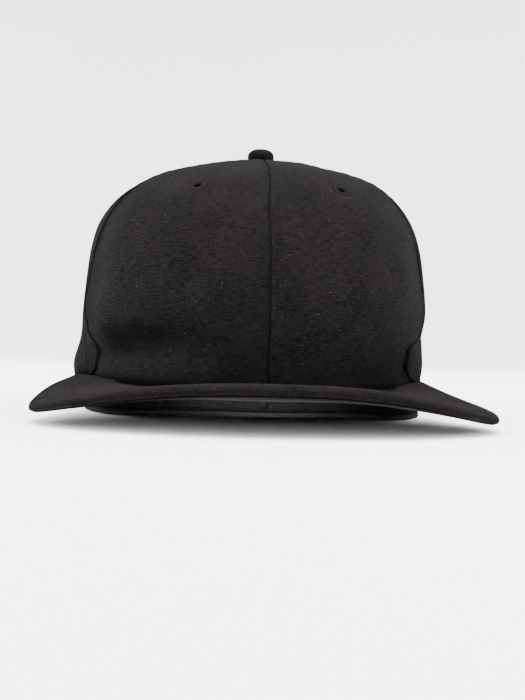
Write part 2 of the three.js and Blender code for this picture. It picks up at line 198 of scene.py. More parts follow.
def crown_point(angle, share):
    section = np.interp(share, SHARE_TABLE, HEIGHT_TABLE)
    edge = EDGE_OFFSET + edge_lift(angle)
    height = section + edge * np.maximum(0, 1 - section / FRONT_LIFT["fade_height"])
    radius = plain_radius(angle, share) + fold_depth(angle, height) + gather_depth(angle, share, height)
    place = place_round(angle, radius, height)
    place[..., 0] += TOP_LEAN["across"] * smooth_step(TOP_LEAN["start"], TOP_LEAN["end"], height)
    return place


def visor_root_height(angle):
    """Height at which the visor's upper face meets the crown."""
    rise = smooth_step(0, VISOR["corner_angle"], np.abs(angle))
    return VISOR["root_front"] + (VISOR["root_corner"] - VISOR["root_front"]) * rise


def unit(vectors):
    return vectors / np.linalg.norm(vectors, axis=-1, keepdims=True)


def crown_normal(angle, share, beside=0.15, above=0.0015):
    """The direction out of the crown, from points a little to both sides, above and below."""
    across = crown_point(angle + beside, share) - crown_point(angle - beside, share)
    top = crown_point(angle, np.minimum(share + above, 1))
    return unit(np.cross(across, top - crown_point(angle, np.maximum(share - above, 0))))


# The cloth's length from the lower edge up to each share, along the front of the crown
PROFILE = np.stack([through(CROWN_SECTIONS, SHARE_TABLE)[:, 2], HEIGHT_TABLE], axis=-1)
PROFILE_LENGTH = np.concatenate([[0], np.cumsum(np.linalg.norm(np.diff(PROFILE, axis=0), axis=1))])


def share_after(cloth_length):
    return np.interp(cloth_length, PROFILE_LENGTH, SHARE_TABLE)


# Pieces

def put(name, data):
    """Adds an object to the scene."""
    added = bpy.data.objects.new(name, data)
    bpy.context.scene.collection.objects.link(added)
    return added


def finished(name, bm, material):
    """A smooth-shaded object from a finished mesh."""
    mesh = bpy.data.meshes.new(name)
    bm.to_mesh(mesh)
    bm.free()
    mesh.polygons.foreach_set("use_smooth", [True] * len(mesh.polygons))
    mesh.materials.append(material)
    return put(name, mesh)


def new_piece(name, bm, material, replaced=()):
    """A piece of the cap that stands for its CAD solids, or adds to them."""
    piece = finished(name, bm, material)
    if replaced:
        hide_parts(*replaced)
    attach(piece, "root")
    return piece


def sheet_of(columns, rows):
    """A flat grid, and for each of its corners the number of its column and of its row."""
    bm = bmesh.new()
    bmesh.ops.create_grid(bm, x_segments=columns, y_segments=rows, size=0.5)
    flat = np.array([corner.co for corner in bm.verts])
    column = np.rint((flat[:, 0] + 0.5) * columns).astype(int)
    row = np.rint((flat[:, 1] + 0.5) * rows).astype(int)
    return bm, column, row


def shape_to(bm, places, cloth_uv=None, painted_shade=None):
    """Moves every corner to its place in millimetres, and lays on it the cloth's map and the shade painted
    into its colour.
    """
    for corner, place in zip(bm.verts, places * MM):
        corner.co = place
    if cloth_uv is not None:
        layer = bm.loops.layers.uv.new("cloth")
        bm.verts.index_update()
        for face in bm.faces:
            for loop in face.loops:
                loop[layer].uv = cloth_uv[loop.vert.index]
    if painted_shade is not None:
        # painted shade, kept on the corners for the cloth's colour
        shade = bm.verts.layers.float.new("painted_shade")
        for corner, depth in zip(bm.verts, painted_shade):
            corner[shade] = float(depth)


def soft_wander(u, v, seed):
    """Slow unevenness of hand-sewn cloth, between about -1 and 1."""
    chance = random.Random(seed)
    total = 0
    for _ in range(5):
        turn = chance.uniform(0, math.pi)
        wave = chance.uniform(20, 48)
        shift = chance.uniform(0, 6.28)
        total = total + np.sin((u * math.cos(turn) + v * math.sin(turn)) * 2 * math.pi / wave + shift)
    return total / 3.2      # the five waves seldom add up to more


# A panel's columns near a seam, in millimetres from it where the panel has its usual width
EDGE_STEPS = [0.0, 0.35, 0.7, 1.1, 1.5, 1.9, 2.3, 2.9, 3.7, 4.8, 6.2, 8.0]
NOMINAL_WIDTH = 88.0
MIDDLE_COLUMNS = 62
edge_shares = [step / NOMINAL_WIDTH for step in EDGE_STEPS]
middle_shares = np.linspace(edge_shares[-1], 1 - edge_shares[-1], MIDDLE_COLUMNS)[1:-1]
COLUMN_SHARES = np.array(edge_shares + list(middle_shares) + [1 - s for s in reversed(edge_shares)])

# A panel's rows, in millimetres up the cloth, close together at the hem
EDGE_ROWS = [0.0, 0.3, 0.7, 1.2, 1.9, 2.7, 3.6, 4.6]
ROW_LENGTHS = np.array(EDGE_ROWS + list(np.linspace(5.7, PROFILE_LENGTH[-1], 128)))
ROW_SHARES = share_after(ROW_LENGTHS)

# Panels: the seam at each side, and where across the panel its eyelet sits
PANELS = [
    ("front_panel_left", "left_side", "front", 0.58),
    ("front_panel_right", "front", "right_side", 0.46),
    ("side_panel_left", "left_rear", "left_side", 0.5),
    ("side_panel_right", "right_side", "right_rear", 0.5),
    ("rear_panel_left", "back_again", "left_rear", 0.5),
    ("rear_panel_right", "right_rear", "back", 0.5),
]
EYELET_RING = 3.0               # radius of the middle of the ring of thread
EYELET_THREAD = 1.55            # half the width of the stitched ring
EYELET_SUNK = 0.62              # middle of the thread below the crown's surface

# How each seam is sewn: depth and spread of its groove, and how far the allowances stand up beside it
SEWN = {"left_side": (2.4, 1.5, 0.5), "right_side": (2.4, 1.5, 0.5), "front": (0.75, 0.48, 0.06)}
REAR_SEWN = (1.4, 0.7, 0.25)
ALLOWANCE = {"from_seam": 2.6, "spread": 1.7}
STITCH_LINE = {"from_seam": 1.9, "depth": 0.14, "spread": 0.45}
PUCKER = {"from_seam": 1.0, "depth": 0.13, "spread": 3.4, "pitch": 7.3}
HEM_ROLL = {"depth": 1.0, "tall": 1.6, "shade": 0.5}
UNEVEN_CLOTH = {"depth": 0.32, "full_above": 14}
# Shade on the cloth: below an overhanging fold, in a deep fold, and along the visor
FOLD_SHADE = {"overhang": 0.44, "deep": 0.26, "visor": 0.85, "visor_spread": 1.5}


def panel_relief(panel, column, width, cloth_u, cloth_v):
    """How far the cloth stands off the plain surface, and how much shade is painted into its colour, from 0
    to 1, in and beside the seam grooves and at the hem.
    """
    name, first, second, _ = panel
    seed = sum(map(ord, name)) % 17
    depth, spread, stand = (np.where(column < 0.5, a, b) for a, b in
                            zip(SEWN.get(first, REAR_SEWN), SEWN.get(second, REAR_SEWN)))
    from_seam = np.minimum(column, 1 - column) * width
    groove = -depth * bump(from_seam, spread)
    allowance = stand * bump(from_seam - ALLOWANCE["from_seam"], ALLOWANCE["spread"])
    stitch_line = -STITCH_LINE["depth"] * bump(from_seam - STITCH_LINE["from_seam"], STITCH_LINE["spread"])
    pucker = PUCKER["depth"] * np.sin(cloth_v * 2 * math.pi / PUCKER["pitch"] + seed)
    pucker = pucker * bump(from_seam - PUCKER["from_seam"], PUCKER["spread"])
    hem = -HEM_ROLL["depth"] * np.clip(1 - cloth_v / HEM_ROLL["tall"], 0, 1) ** 2
    uneven = UNEVEN_CLOTH["depth"] * soft_wander(cloth_u, cloth_v, seed)
    uneven = uneven * smooth_step(0, UNEVEN_CLOTH["full_above"], cloth_v)
    # a deep groove is shaded wider high on the crown, where the photo shows it as a dark line
    shaded = spread * (1.05 + 0.25 * smooth_step(40, 70, cloth_v) * (depth > 2))
    # painted shade: the colour darkens in and beside the seam grooves, the more the deeper they are, and
    # along the hem
    painted_shade = bump(from_seam, shaded) * np.minimum(depth / 2.2, 1)
    painted_shade = np.maximum(painted_shade, HEM_ROLL["shade"] * bump(cloth_v, 1.0))
    return groove + allowance + stitch_line + pucker + hem + uneven, painted_shade


def panel_surface(panel, column, share, cloth_v):
    """Places on a panel, with the angle, the shade painted into the cloth's colour in grooves, folds and
    along the visor, and the cloth's own map.
    """
    _, first, second, _ = panel
    start, end = seam_angle(first, share), seam_angle(second, share)
    angle = start + (end - start) * column
    radius = plain_radius(angle, share)
    width = radius * np.radians(end - start)
    cloth_u = (column - 0.5) * width
    relief, painted_shade = panel_relief(panel, column, width, cloth_u, cloth_v)
    height = np.interp(share, SHARE_TABLE, HEIGHT_TABLE)
    # painted shade where the cloth faces down below an overhanging fold, and inside a deep fold
    overhang = (fold_depth(angle, height + 1) - fold_depth(angle, height - 1)) / 2
    sunk = smooth_step(1.4, 4.6, -fold_depth(angle, height))
    shaded = FOLD_SHADE["overhang"] * smooth_step(0.1, 0.62, overhang) + FOLD_SHADE["deep"] * sunk
    painted_shade = np.maximum(painted_shade, shaded)
    top_fade = 0.35 + 0.65 * smooth_step(0, 10, ROW_LENGTHS[-1] - cloth_v)
    places = crown_point(angle, share) + crown_normal(angle, share) * (relief * top_fade)[..., None]
    above_visor = places[..., 2] - visor_root_height(angle)
    # painted shade in a narrow line just above the visor's root
    painted_shade_along_visor = FOLD_SHADE["visor"] * bump(above_visor, FOLD_SHADE["visor_spread"])
    painted_shade = np.maximum(painted_shade, painted_shade_along_visor * (np.abs(angle) < VISOR["corner_angle"]))
    return places, angle, painted_shade, np.stack([cloth_u, cloth_v], axis=-1)


def eyelet_seat(panel):
    """Centre and outward direction of a panel's eyelet."""
    _, first, second, across = panel
    share = share_at(EYELET_HEIGHT)
    start, end = seam_angle(first, share), seam_angle(second, share)
    angle = start + (end - start) * across
    return crown_point(angle, share), crown_normal(angle, share)


def open_eyelet(bm, seat, normal, reach=14, dent=0.45, dent_spread=2.6):
    """Cuts the hole that the eyelet's thread is sewn round, and draws the cloth in towards it."""
    centre, facing = Vector(seat * MM), Vector(normal)
    hole = (EYELET_RING - 0.1) * MM
    near = {}
    for corner in bm.verts:
        offset = corner.co - centre
        if offset.length > reach * MM:
            continue
        along = facing * offset.dot(facing)
        near[corner] = (along, offset - along)
    inside = [face for face in {f for corner in near for f in corner.link_faces}
              if all(corner in near and near[corner][1].length < hole for corner in face.verts)]
    bmesh.ops.delete(bm, geom=inside, context="FACES")
    for corner, (along, flat) in near.items():
        if not corner.is_valid:
            continue
        distance = flat.length
        if distance < hole:
            flat = flat.normalized() * hole
        dimple = dent * MM * math.exp(-((max(distance, hole) - hole) / (dent_spread * MM)) ** 2)
        corner.co = centre + flat + along - facing * dimple


def add_panel(panel, material):
    bm, column, row = sheet_of(len(COLUMN_SHARES) - 1, len(ROW_SHARES) - 1)
    share, cloth_v = ROW_SHARES[row], ROW_LENGTHS[row]
    places, _, painted_shade, cloth_uv = panel_surface(panel, COLUMN_SHARES[column], share, cloth_v)
    shape_to(bm, places, cloth_uv, painted_shade)
    open_eyelet(bm, *eyelet_seat(panel))
    piece = new_piece(panel[0] + "_cloth", bm, material, [panel[0]])
    wall = piece.modifiers.new("wall", "SOLIDIFY")
    wall.thickness = CLOTH_WALL * MM
    wall.offset = -1


# Stitches

# Each row of stitches: pitch, length and thickness of one stitch, and how proud of the surface it is
SEAM_STITCH = (2.9, 2.2, 0.32, -0.06)
HEM_STITCH = (3.0, 2.4, 0.36, 0.0)
VISOR_STITCH = (2.9, 2.2, 0.3, -0.1)
HEM_STITCH_HEIGHT = 5.2


def stitch_shape(length, thick):
    """One stitch of thread: a plump lozenge that dives into the cloth at both ends."""
    bm = bmesh.new()
    bmesh.ops.create_uvsphere(bm, u_segments=6, v_segments=6, radius=0.5)
    bmesh.ops.scale(bm, vec=(thick * MM, thick * MM, length * MM), verts=bm.verts)
    bmesh.ops.rotate(bm, cent=(0, 0, 0), matrix=Matrix.Rotation(math.pi / 2, 3, "Y"), verts=bm.verts)
    mesh = bpy.data.meshes.new("one_stitch")
    bm.to_mesh(mesh)
    bm.free()
    return mesh


def sew(bm, path, normals, pitch, length, thick, proud, seed=1):
    """Lays stitches along a path on a surface, given as points in millimetres and their normals."""
    chance = random.Random(seed)
    steps = np.linalg.norm(np.diff(path, axis=0), axis=1)
    along = np.concatenate([[0], np.cumsum(steps)])
    count = int(along[-1] // pitch)
    one = stitch_shape(length, thick)
    for number in range(count):
        middle = (number + 0.5) * along[-1] / count
        ends = [np.array([np.interp(middle + shift, along, path[:, k]) for k in range(3)])
                for shift in (-0.4 * length, 0, 0.4 * length)]
        normal = Vector([np.interp(middle, along, normals[:, k]) for k in range(3)]).normalized()
        forward = Vector(ends[2] - ends[0]).normalized()
        side = normal.cross(forward).normalized()
        lean = Matrix.Rotation(chance.uniform(-0.07, 0.07), 3, "Z")
        turn = Matrix((forward, side, forward.cross(side))).transposed() @ lean
        place = Vector(ends[1] * MM) + normal * proud * MM * chance.uniform(0.8, 1.2)
        copy = one.copy()
        copy.transform(Matrix.Translation(place) @ turn.to_4x4())
        bm.from_mesh(copy)
        bpy.data.meshes.remove(copy)
    bpy.data.meshes.remove(one)


def seam_stitches(material):
    """Rows of topstitching on both sides of every crown seam, and one round the lower edge."""
    bm = bmesh.new()
    lengths = np.linspace(7, ROW_LENGTHS[-1] - 6, 260)
    share = share_after(lengths)
    for number, panel in enumerate(PANELS):
        start, end = seam_angle(panel[1], share), seam_angle(panel[2], share)
        angle = (start + end) / 2
        width = plain_radius(angle, share) * np.radians(end - start)
        near = STITCH_LINE["from_seam"] / width
        keep = near < 0.3       # not at the very top, where the panel is too narrow
        for column in (near, 1 - near):
            path, turned, _, _ = panel_surface(panel, column, share, lengths)
            path, normals = path[keep], crown_normal(turned, share)[keep]
            sew(bm, path, normals, *SEAM_STITCH, seed=number)
        hem = np.linspace(0.02, 0.98, 90)
        hem_length = np.full(90, HEM_STITCH_HEIGHT)
        hem_share = share_after(hem_length)
        path, turned, _, _ = panel_surface(panel, hem, hem_share, hem_length)
        sew(bm, path, crown_normal(turned, hem_share), *HEM_STITCH, seed=number + 20)
    new_piece("crown_topstitching", bm, material)


# Eyelets and button

def spin_round(bm, outline, steps, weld):
    """Turns an outline once round the upright axis and welds what meets."""
    bmesh.ops.spin(bm, geom=outline, cent=(0, 0, 0), axis=(0, 0, 1), dvec=(0, 0, 0),
                   angle=2 * math.pi, steps=steps, use_merge=True)
    bmesh.ops.remove_doubles(bm, verts=bm.verts, dist=weld)


def add_eyelet(panel, material):
    """A ring of close satin stitch: a rope of thread turned round the hole."""
    seat, normal = eyelet_seat(panel)
    bm = bmesh.new()
    bmesh.ops.create_circle(bm, segments=10, radius=1.0, cap_ends=False)
    bmesh.ops.rotate(bm, cent=(0, 0, 0), matrix=Matrix.Rotation(math.pi / 2, 3, "X"), verts=bm.verts)
    bmesh.ops.scale(bm, vec=(EYELET_THREAD * MM, 1, 0.85 * MM), verts=bm.verts)
    bmesh.ops.translate(bm, vec=(EYELET_RING * MM, 0, 0), verts=bm.verts)
    spin_round(bm, bm.verts[:] + bm.edges[:], steps=128, weld=1e-7)
    for corner in bm.verts:
        round_angle = math.atan2(corner.co.y, corner.co.x)
        ring = Vector((math.cos(round_angle), math.sin(round_angle), 0)) * EYELET_RING * MM
        ripple = 1 + 0.11 * math.cos(round_angle * 32) + 0.05 * math.sin(round_angle * 5 + seat[0])
        corner.co = ring + (corner.co - ring) * ripple
    bmesh.ops.recalc_face_normals(bm, faces=bm.faces)
    turn = Vector((0, 0, 1)).rotation_difference(Vector(normal)).to_matrix().to_4x4()
    sunk = Vector(seat - EYELET_SUNK * normal) * MM
    bmesh.ops.transform(bm, matrix=Matrix.Translation(sunk) @ turn, verts=bm.verts)
    node = "eyelet_" + panel[0].replace("_panel", "")
    new_piece(node + "_thread", bm, material, [node])


BUTTON_PROFILE = [              # radius and height of the cloth-covered button, from its shank up
    (1.9, 118.0), (2.0, 120.6), (4.6, 120.7), (5.5, 120.9), (6.05, 121.4), (6.35, 122.2), (6.35, 123.1),
    (6.05, 124.1), (5.4, 125.0), (4.4, 125.7), (3.1, 126.15), (1.6, 126.35), (0.0, 126.4),
]
BUTTON_TOP = BUTTON_PROFILE[-1][1]
BUTTON_PLEATS = {"count": 13, "depth": 0.022, "height": 121.8, "tall": 2.2}


def add_button(material):
    """The cloth stretched over the button, with small pleats where it is drawn in below."""
    bm = bmesh.new()
    profile = through(BUTTON_PROFILE, np.linspace(0, 1, 34))
    profile[-1, 0] = 0
    corners = [bm.verts.new((r * MM, 0, z * MM)) for r, z in profile]
    rim = [bm.edges.new(pair) for pair in zip(corners, corners[1:])]
    spin_round(bm, corners + rim, steps=72, weld=1e-6)
    layer = bm.loops.layers.uv.new("cloth")
    for face in bm.faces:
        for loop in face.loops:
            place = loop.vert.co
            drop = BUTTON_TOP - place.z / MM
            radius = math.hypot(place.x, place.y) / MM
            reach = (radius + drop) / max(radius, 0.01)
            loop[layer].uv = (place.x / MM * reach, place.y / MM * reach)
    for corner in bm.verts:
        turned = math.atan2(corner.co.y, corner.co.x)
        away = abs(corner.co.z / MM - BUTTON_PLEATS["height"]) / BUTTON_PLEATS["tall"]
        ripple = math.sin(turned * BUTTON_PLEATS["count"] + 0.6 * math.sin(turned * 3))
        pleat = 1 + BUTTON_PLEATS["depth"] * ripple * max(0, 1 - away)
        corner.co.x *= pleat
        corner.co.y *= pleat
    bmesh.ops.recalc_face_normals(bm, faces=bm.faces)
    bmesh.ops.translate(bm, vec=(TOP_LEAN["across"] * MM, CROWN_CENTRE_Y * MM, 0), verts=bm.verts)
    new_piece("button_cloth", bm, material, ["button"])


# Visor

ROOT_TUCK = 0.6                 # the root reaches this far into the crown's cloth,
ROOT_CORNER = 0.9               # and ends this much further out at the corners


def root_point(share):
    """Where the visor's upper face meets the crown, at shares from -1 at the left corner to 1."""
    angle = share * VISOR["corner_angle"]
    height = visor_root_height(angle)
    radius = 0
    for drop in (0, VISOR["thickness"]):
        edge = EDGE_OFFSET + edge_lift(angle)
        section = (height - drop - edge) / (1 - edge / FRONT_LIFT["fade_height"])
        plain = plain_radius(angle, share_at(np.maximum(0, section)))
        radius = np.maximum(radius, plain + fold_depth(angle, height - drop))
    return place_round(angle, radius - ROOT_TUCK + ROOT_CORNER * np.abs(share) ** 8, height)


def rim_table():
    """The rim as a fine line, by the centripetal curve that the solids use, and its length so far."""
    rows = np.array([(across, CROWN_CENTRE_Y - ahead, top) for across, ahead, top in VISOR_RIM])
    ends = root_point(np.array([-1.0, 1.0]))
    points = np.vstack([ends[0], rows, ends[1]])
    padded = np.vstack([2 * points[0] - points[1], points, 2 * points[-1] - points[-2]])
    pieces = []
    for k in range(len(points) - 1):
        p0, p1, p2, p3 = padded[k:k + 4]
        d0, d1, d2 = (np.linalg.norm(b - a) ** 0.5 for a, b in ((p0, p1), (p1, p2), (p2, p3)))
        leave = ((p1 - p0) / d0 - (p2 - p0) / (d0 + d1) + (p2 - p1) / d1) * d1
        reach = ((p2 - p1) / d1 - (p3 - p1) / (d1 + d2) + (p3 - p2) / d2) * d1
        t = np.linspace(0, 1, 120, endpoint=False)[:, None]
        pieces.append(p1 + t * (leave + t * (-3 * p1 + 3 * p2 - 2 * leave - reach
                                             + t * (2 * p1 - 2 * p2 + leave + reach))))
    line = np.vstack(pieces + [points[-1:]])
    return line, np.concatenate([[0], np.cumsum(np.linalg.norm(np.diff(line, axis=0), axis=1))])


RIM_LINE, RIM_LENGTH = rim_table()


def rim_point(share):
    place = (share + 1) / 2 * RIM_LENGTH[-1]
    return np.stack([np.interp(place, RIM_LENGTH, RIM_LINE[:, k]) for k in range(3)], axis=-1)


ROW_STEP = 5.5
ROW_GROOVE = {"depth": 0.12, "spread": 0.55}
STITCH_ROWS = [ROW_STEP * (k + 1) for k in range(8)]
FULL_DEPTH = 52.0               # where the visor is less deep than this, the rows lie closer together
AT_ROOT = 999.0                 # stands for the step that reaches the root
PAST_ROWS = 48
# Steps in from the rim, close together round each stitched row
ROW_SHIFTS = (-1.6, -0.8, -0.35, 0, 0.35, 0.8, 1.6)
TOP_STEPS = sorted({round(row + shift, 2) for row in STITCH_ROWS for shift in ROW_SHIFTS}
                   | {2.3, 2.8, 3.3})
# The rim's outline from the upper face, at 90, round to the lower face
RIM_TURNS = [90, 78, 66, 54, 42, 30, 18, 6, -6, -18, -30, -40, -48, -54, -60, -66, -74, -82, -90]
EDGE_SEAM_TURN = -54
# painted shade on the visor's lower face
UNDER_SHADE = 0.34
RIM_CLOTH = 7.2                 # cloth round the rim, from the upper face to the lower one
UNDER_MAP_SHIFT = 400           # keeps the lower face's weave unlike the upper one's


def visor_section(share, step, turn, under):
    """A place on the visor: share along it, step in from the rim, turn round the rim, which face."""
    root, edge = root_point(share), rim_point(share)
    outward = edge - root
    length = np.linalg.norm(outward, axis=-1, keepdims=True)
    outward = outward / length
    thick = VISOR["thickness"] + (VISOR["corner_thickness"] - VISOR["thickness"]) * np.abs(share) ** 20
    thick = thick[..., None]
    half = thick / 2
    round_off = np.minimum(half * 1.6, length / 3)
    squeeze = np.minimum(1, length / FULL_DEPTH)
    inward = np.where(step[..., None] < AT_ROOT, step[..., None] * squeeze, length)
    inward = np.minimum(inward, length)
    turned = np.radians(turn)[..., None]
    on_rim = (np.abs(turn) < 90)[..., None]
    along = np.where(on_rim, length - round_off + round_off * np.cos(turned),
                     length - np.maximum(inward, round_off))
    drop = np.where(on_rim, half - half * np.sin(turned), np.where(under[..., None], thick, 0))
    seam = bump(turn - EDGE_SEAM_TURN, 7)[..., None] * on_rim
    along = along - 1.0 * seam
    place = root + outward * along
    place[..., 2] -= drop[..., 0]
    relief = 0
    for row in STITCH_ROWS:
        relief = relief - ROW_GROOVE["depth"] * bump(step - row, ROW_GROOVE["spread"])
    quilted = 0.06 * np.cos((step - ROW_STEP / 2) * 2 * math.pi / ROW_STEP)
    relief = relief + quilted * (step < PAST_ROWS) * ~(np.abs(turn) < 90)
    relief = relief * smooth_step(0, 1, squeeze[..., 0])
    place[..., 2] += np.where(under, -relief, relief - 1.3 * (step == AT_ROOT))
    return place


def add_visor(material):
    """The covered board, as a closed tube of cloth from the root over the rim and back below."""
    flat = [(step, 90.0, False) for step in (AT_ROOT, 51.5, 48.5, *reversed(TOP_STEPS))]
    turns = [(0.0, float(turn), turn < 0) for turn in RIM_TURNS]
    below = [(step, turn, True) for step, turn, _ in reversed(flat)]
    ring = flat + turns + below
    step, turn, under = (np.array(values) for values in zip(*ring))
    stations = 220
    even = np.linspace(-1, 1, stations + 1)
    shares = np.sin(even * math.pi / 2) * 0.35 + even * 0.65
    shares = shares * VISOR["corner_share"]
    bm, column, row = sheet_of(stations, len(ring))
    around = row % len(ring)
    step, turn, under = step[around], turn[around], under[around]
    places = visor_section(shares[column], step, turn, under)
    outward = unit(rim_point(shares[column]) - root_point(shares[column]))
    on_rim = np.abs(turn) < 90
    beyond = np.where(on_rim, (90 - turn) / 180 * RIM_CLOTH, np.where(under, RIM_CLOTH, 0))
    cloth_uv = places[:, :2] + outward[:, :2] * beyond[:, None]
    cloth_uv = cloth_uv + np.where(under, UNDER_MAP_SHIFT, 0)[:, None]
    # painted shade: darker on the rim's lower half, on the whole lower face, at the rim's edge seam and in
    # the line at the root
    rim_underside_painted_shade = UNDER_SHADE * smooth_step(-8, 50, -turn) * (on_rim | under)
    painted_shade = np.maximum(bump(turn - EDGE_SEAM_TURN, 12) * on_rim, 0.9 * (step == AT_ROOT))
    painted_shade = np.maximum(painted_shade, np.where(under, UNDER_SHADE, rim_underside_painted_shade))
    shape_to(bm, places, cloth_uv, painted_shade)
    bmesh.ops.remove_doubles(bm, verts=bm.verts, dist=2e-6)
    bmesh.ops.holes_fill(bm, edges=[edge for edge in bm.edges if edge.is_boundary], sides=0)
    bmesh.ops.recalc_face_normals(bm, faces=bm.faces)
    new_piece("brim_cloth", bm, material, ["brim"])


def visor_stitches(material):
    """The rows of stitching on both faces of the visor, each ending 3 mm short of the crown."""
    bm = bmesh.new()
    share = np.linspace(-0.97, 0.97, 420)
    flat_turn = np.full(len(share), 90.0)
    for number, row in enumerate(STITCH_ROWS):
        for under in (False, True):
            path = visor_section(share, np.full(len(share), row), flat_turn, np.full(len(share), under))
            gap = np.linalg.norm(path - root_point(share), axis=1)
            path = path[gap > 3.0]
            normals = np.tile([0, 0, -1.0 if under else 1.0], (len(path), 1))
            sew(bm, path, normals, *VISOR_STITCH, seed=number + 50)
    new_piece("brim_stitching", bm, material)


# Sweatband

EDGE_ROUND = 560                # cloth once round the lower edge


def add_band(material):
    """The inner band with its fold turned out under the crown's edge."""
    stations = 192
    fold = BAND["fold"]
    outside = CLOTH_WALL + BAND["clearance"]
    inside = outside + BAND["thickness"]
    tall = BAND["tall"]
    outline = [                 # inset from the crown's surface, and height
        (0.75, 0.25), (1.5, 0.0), (2.8, 0.0), (inside - 0.3, 0.15), (inside, 0.7), (inside + 0.05, 2.6),
        (inside - 0.12, 3.4), (inside, 4.4), (inside + 0.1, tall * 0.35), (inside + 0.1, tall * 0.6),
        (inside, tall - 1.0), (inside - 0.3, tall - 0.2), (inside - 0.75, tall), (outside + 0.3, tall - 0.2),
        (outside, tall - 1.0), (outside, tall * 0.6), (outside, tall * 0.35), (outside, fold + 0.6),
        (outside - 0.4, fold - 0.05), (1.4, fold - 0.1), (0.6, fold - 0.25), (0.45, fold - 0.8), (0.5, 0.8),
    ]
    inset, height = (np.array(values) for values in zip(*outline))
    bm, column, row = sheet_of(stations, len(outline))
    around = row % len(outline)
    angle = (column % stations) / stations * 360 - 180
    rise = edge_lift(angle)
    deepest = np.min([fold_depth(angle, z) for z in (10, 16, 22, 28, 34)], axis=0)
    above = height[around]
    tuck = np.where(above > fold, deepest, fold_depth(angle, above + rise))
    radius = plain_radius(angle, share_at(above)) + np.minimum(0, tuck) - inset[around]
    radius = radius + 0.25 * np.sin(np.radians(angle) * 9 + above * 0.2) * smooth_step(4, 14, above)
    places = place_round(angle, radius, above + rise)
    arc = (column / stations) * EDGE_ROUND
    reach = np.concatenate([[0], np.cumsum(np.hypot(np.diff(inset), np.diff(height)))])
    shape_to(bm, places, np.stack([arc, reach[around]], axis=-1))
    bmesh.ops.remove_doubles(bm, verts=bm.verts, dist=1e-6)
    bmesh.ops.recalc_face_normals(bm, faces=bm.faces)
    new_piece("sweatband_cloth", bm, material, ["sweatband"])


# Materials

class Value:
    """A shader socket that takes part in sums as a number does."""

    def __init__(self, look, socket):
        self.look, self.socket = look, socket

    def __add__(self, other):
        return self.look.maths("ADD", self, other)

    __radd__ = __add__

    def __sub__(self, other):
        return self.look.maths("SUBTRACT", self, other)

    def __rsub__(self, other):
        return self.look.maths("SUBTRACT", other, self)

    def __mul__(self, other):
        return self.look.maths("MULTIPLY", self, other)

    __rmul__ = __mul__

    def __pow__(self, other):
        return self.look.maths("POWER", self, other)

    def __gt__(self, other):
        return self.look.maths("GREATER_THAN", self, other)


class Look:
    """A material and its nodes."""

    def __init__(self, name):
        self.material = bpy.data.materials.new(name)
        self.material.use_nodes = True
        self.tree = self.material.node_tree
        self.tree.nodes.clear()

    def node(self, kind, settings, sockets, output=0):
        """Any node: its settings come first, then the values or links of its sockets."""
        made = self.tree.nodes.new(kind)
        for name, value in settings.items():
            setattr(made, name, value)
        for name, value in sockets.items():
            if isinstance(value, Value):
                self.tree.links.new(value.socket, made.inputs[name])
            else:
                made.inputs[name].default_value = value
        return Value(self, made.outputs[output]) if made.outputs else made

    def maths(self, operation, first, second=0.0):
        return self.node("ShaderNodeMath", {"operation": operation}, {0: first, 1: second})

    def within_one(self, value):
        return self.maths("MINIMUM", self.maths("MAXIMUM", value, 0.0), 1.0)

    def noise(self, place, scale, detail=2.0, roughness=0.5):
        return self.node("ShaderNodeTexNoise", {"noise_dimensions": "3D"},
                         {"Vector": place, "Scale": scale, "Detail": detail, "Roughness": roughness})

    def smooth_range(self, value, low, high, from_low, from_high):
        """From low to high, smoothly, while the value goes from from_low to from_high."""
        return self.node("ShaderNodeMapRange", {"clamp": True, "interpolation_type": "SMOOTHSTEP"},
                         {0: value, 1: from_low, 2: from_high, 3: low, 4: high})

    def blend(self, share, first, second):
        return self.node("ShaderNodeMix", {"data_type": "RGBA"}, {0: share, 6: first, 7: second}, output=2)

    def joined(self, x, y, z=0.0):
        return self.node("ShaderNodeCombineXYZ", {}, {0: x, 1: y, 2: z})

    def finish(self, settings, normal):
        shader = self.node("ShaderNodeBsdfPrincipled", {}, {**settings, "Normal": normal})
        self.node("ShaderNodeOutputMaterial", {}, {"Surface": shader})
        return self.material


# Cloths: darkest and lightest colour, pitch of the weave in millimetres, and amounts of slub and lint
CLOTHS = {
    "crown_cloth": ((0.0006, 0.0005, 0.0006), (0.0122, 0.0108, 0.0122), 0.62, 0.40, 0.11),
    "visor_cloth": ((0.0006, 0.0004, 0.0006), (0.0140, 0.0122, 0.0140), 0.62, 0.32, 0.04),
    "button_cloth": ((0.0006, 0.0004, 0.0006), (0.0125, 0.0108, 0.0126), 0.62, 0.32, 0.04),
    # the band's colour is partly its own lighter cloth and partly painted light, made lighter to make up for
    # the shade under the visor
    "band_cloth": ((0.0060, 0.0052, 0.0054), (0.0330, 0.0295, 0.0300), 0.5, 0.35, 0.0),
}
# near-black colour of the painted shade
PAINTED_SHADE_COLOUR = (0.0002, 0.0002, 0.0002, 1)
LINT_COLOUR = (0.16, 0.155, 0.15, 1)
SHEEN_TINT = (0.75, 0.74, 0.78, 1)


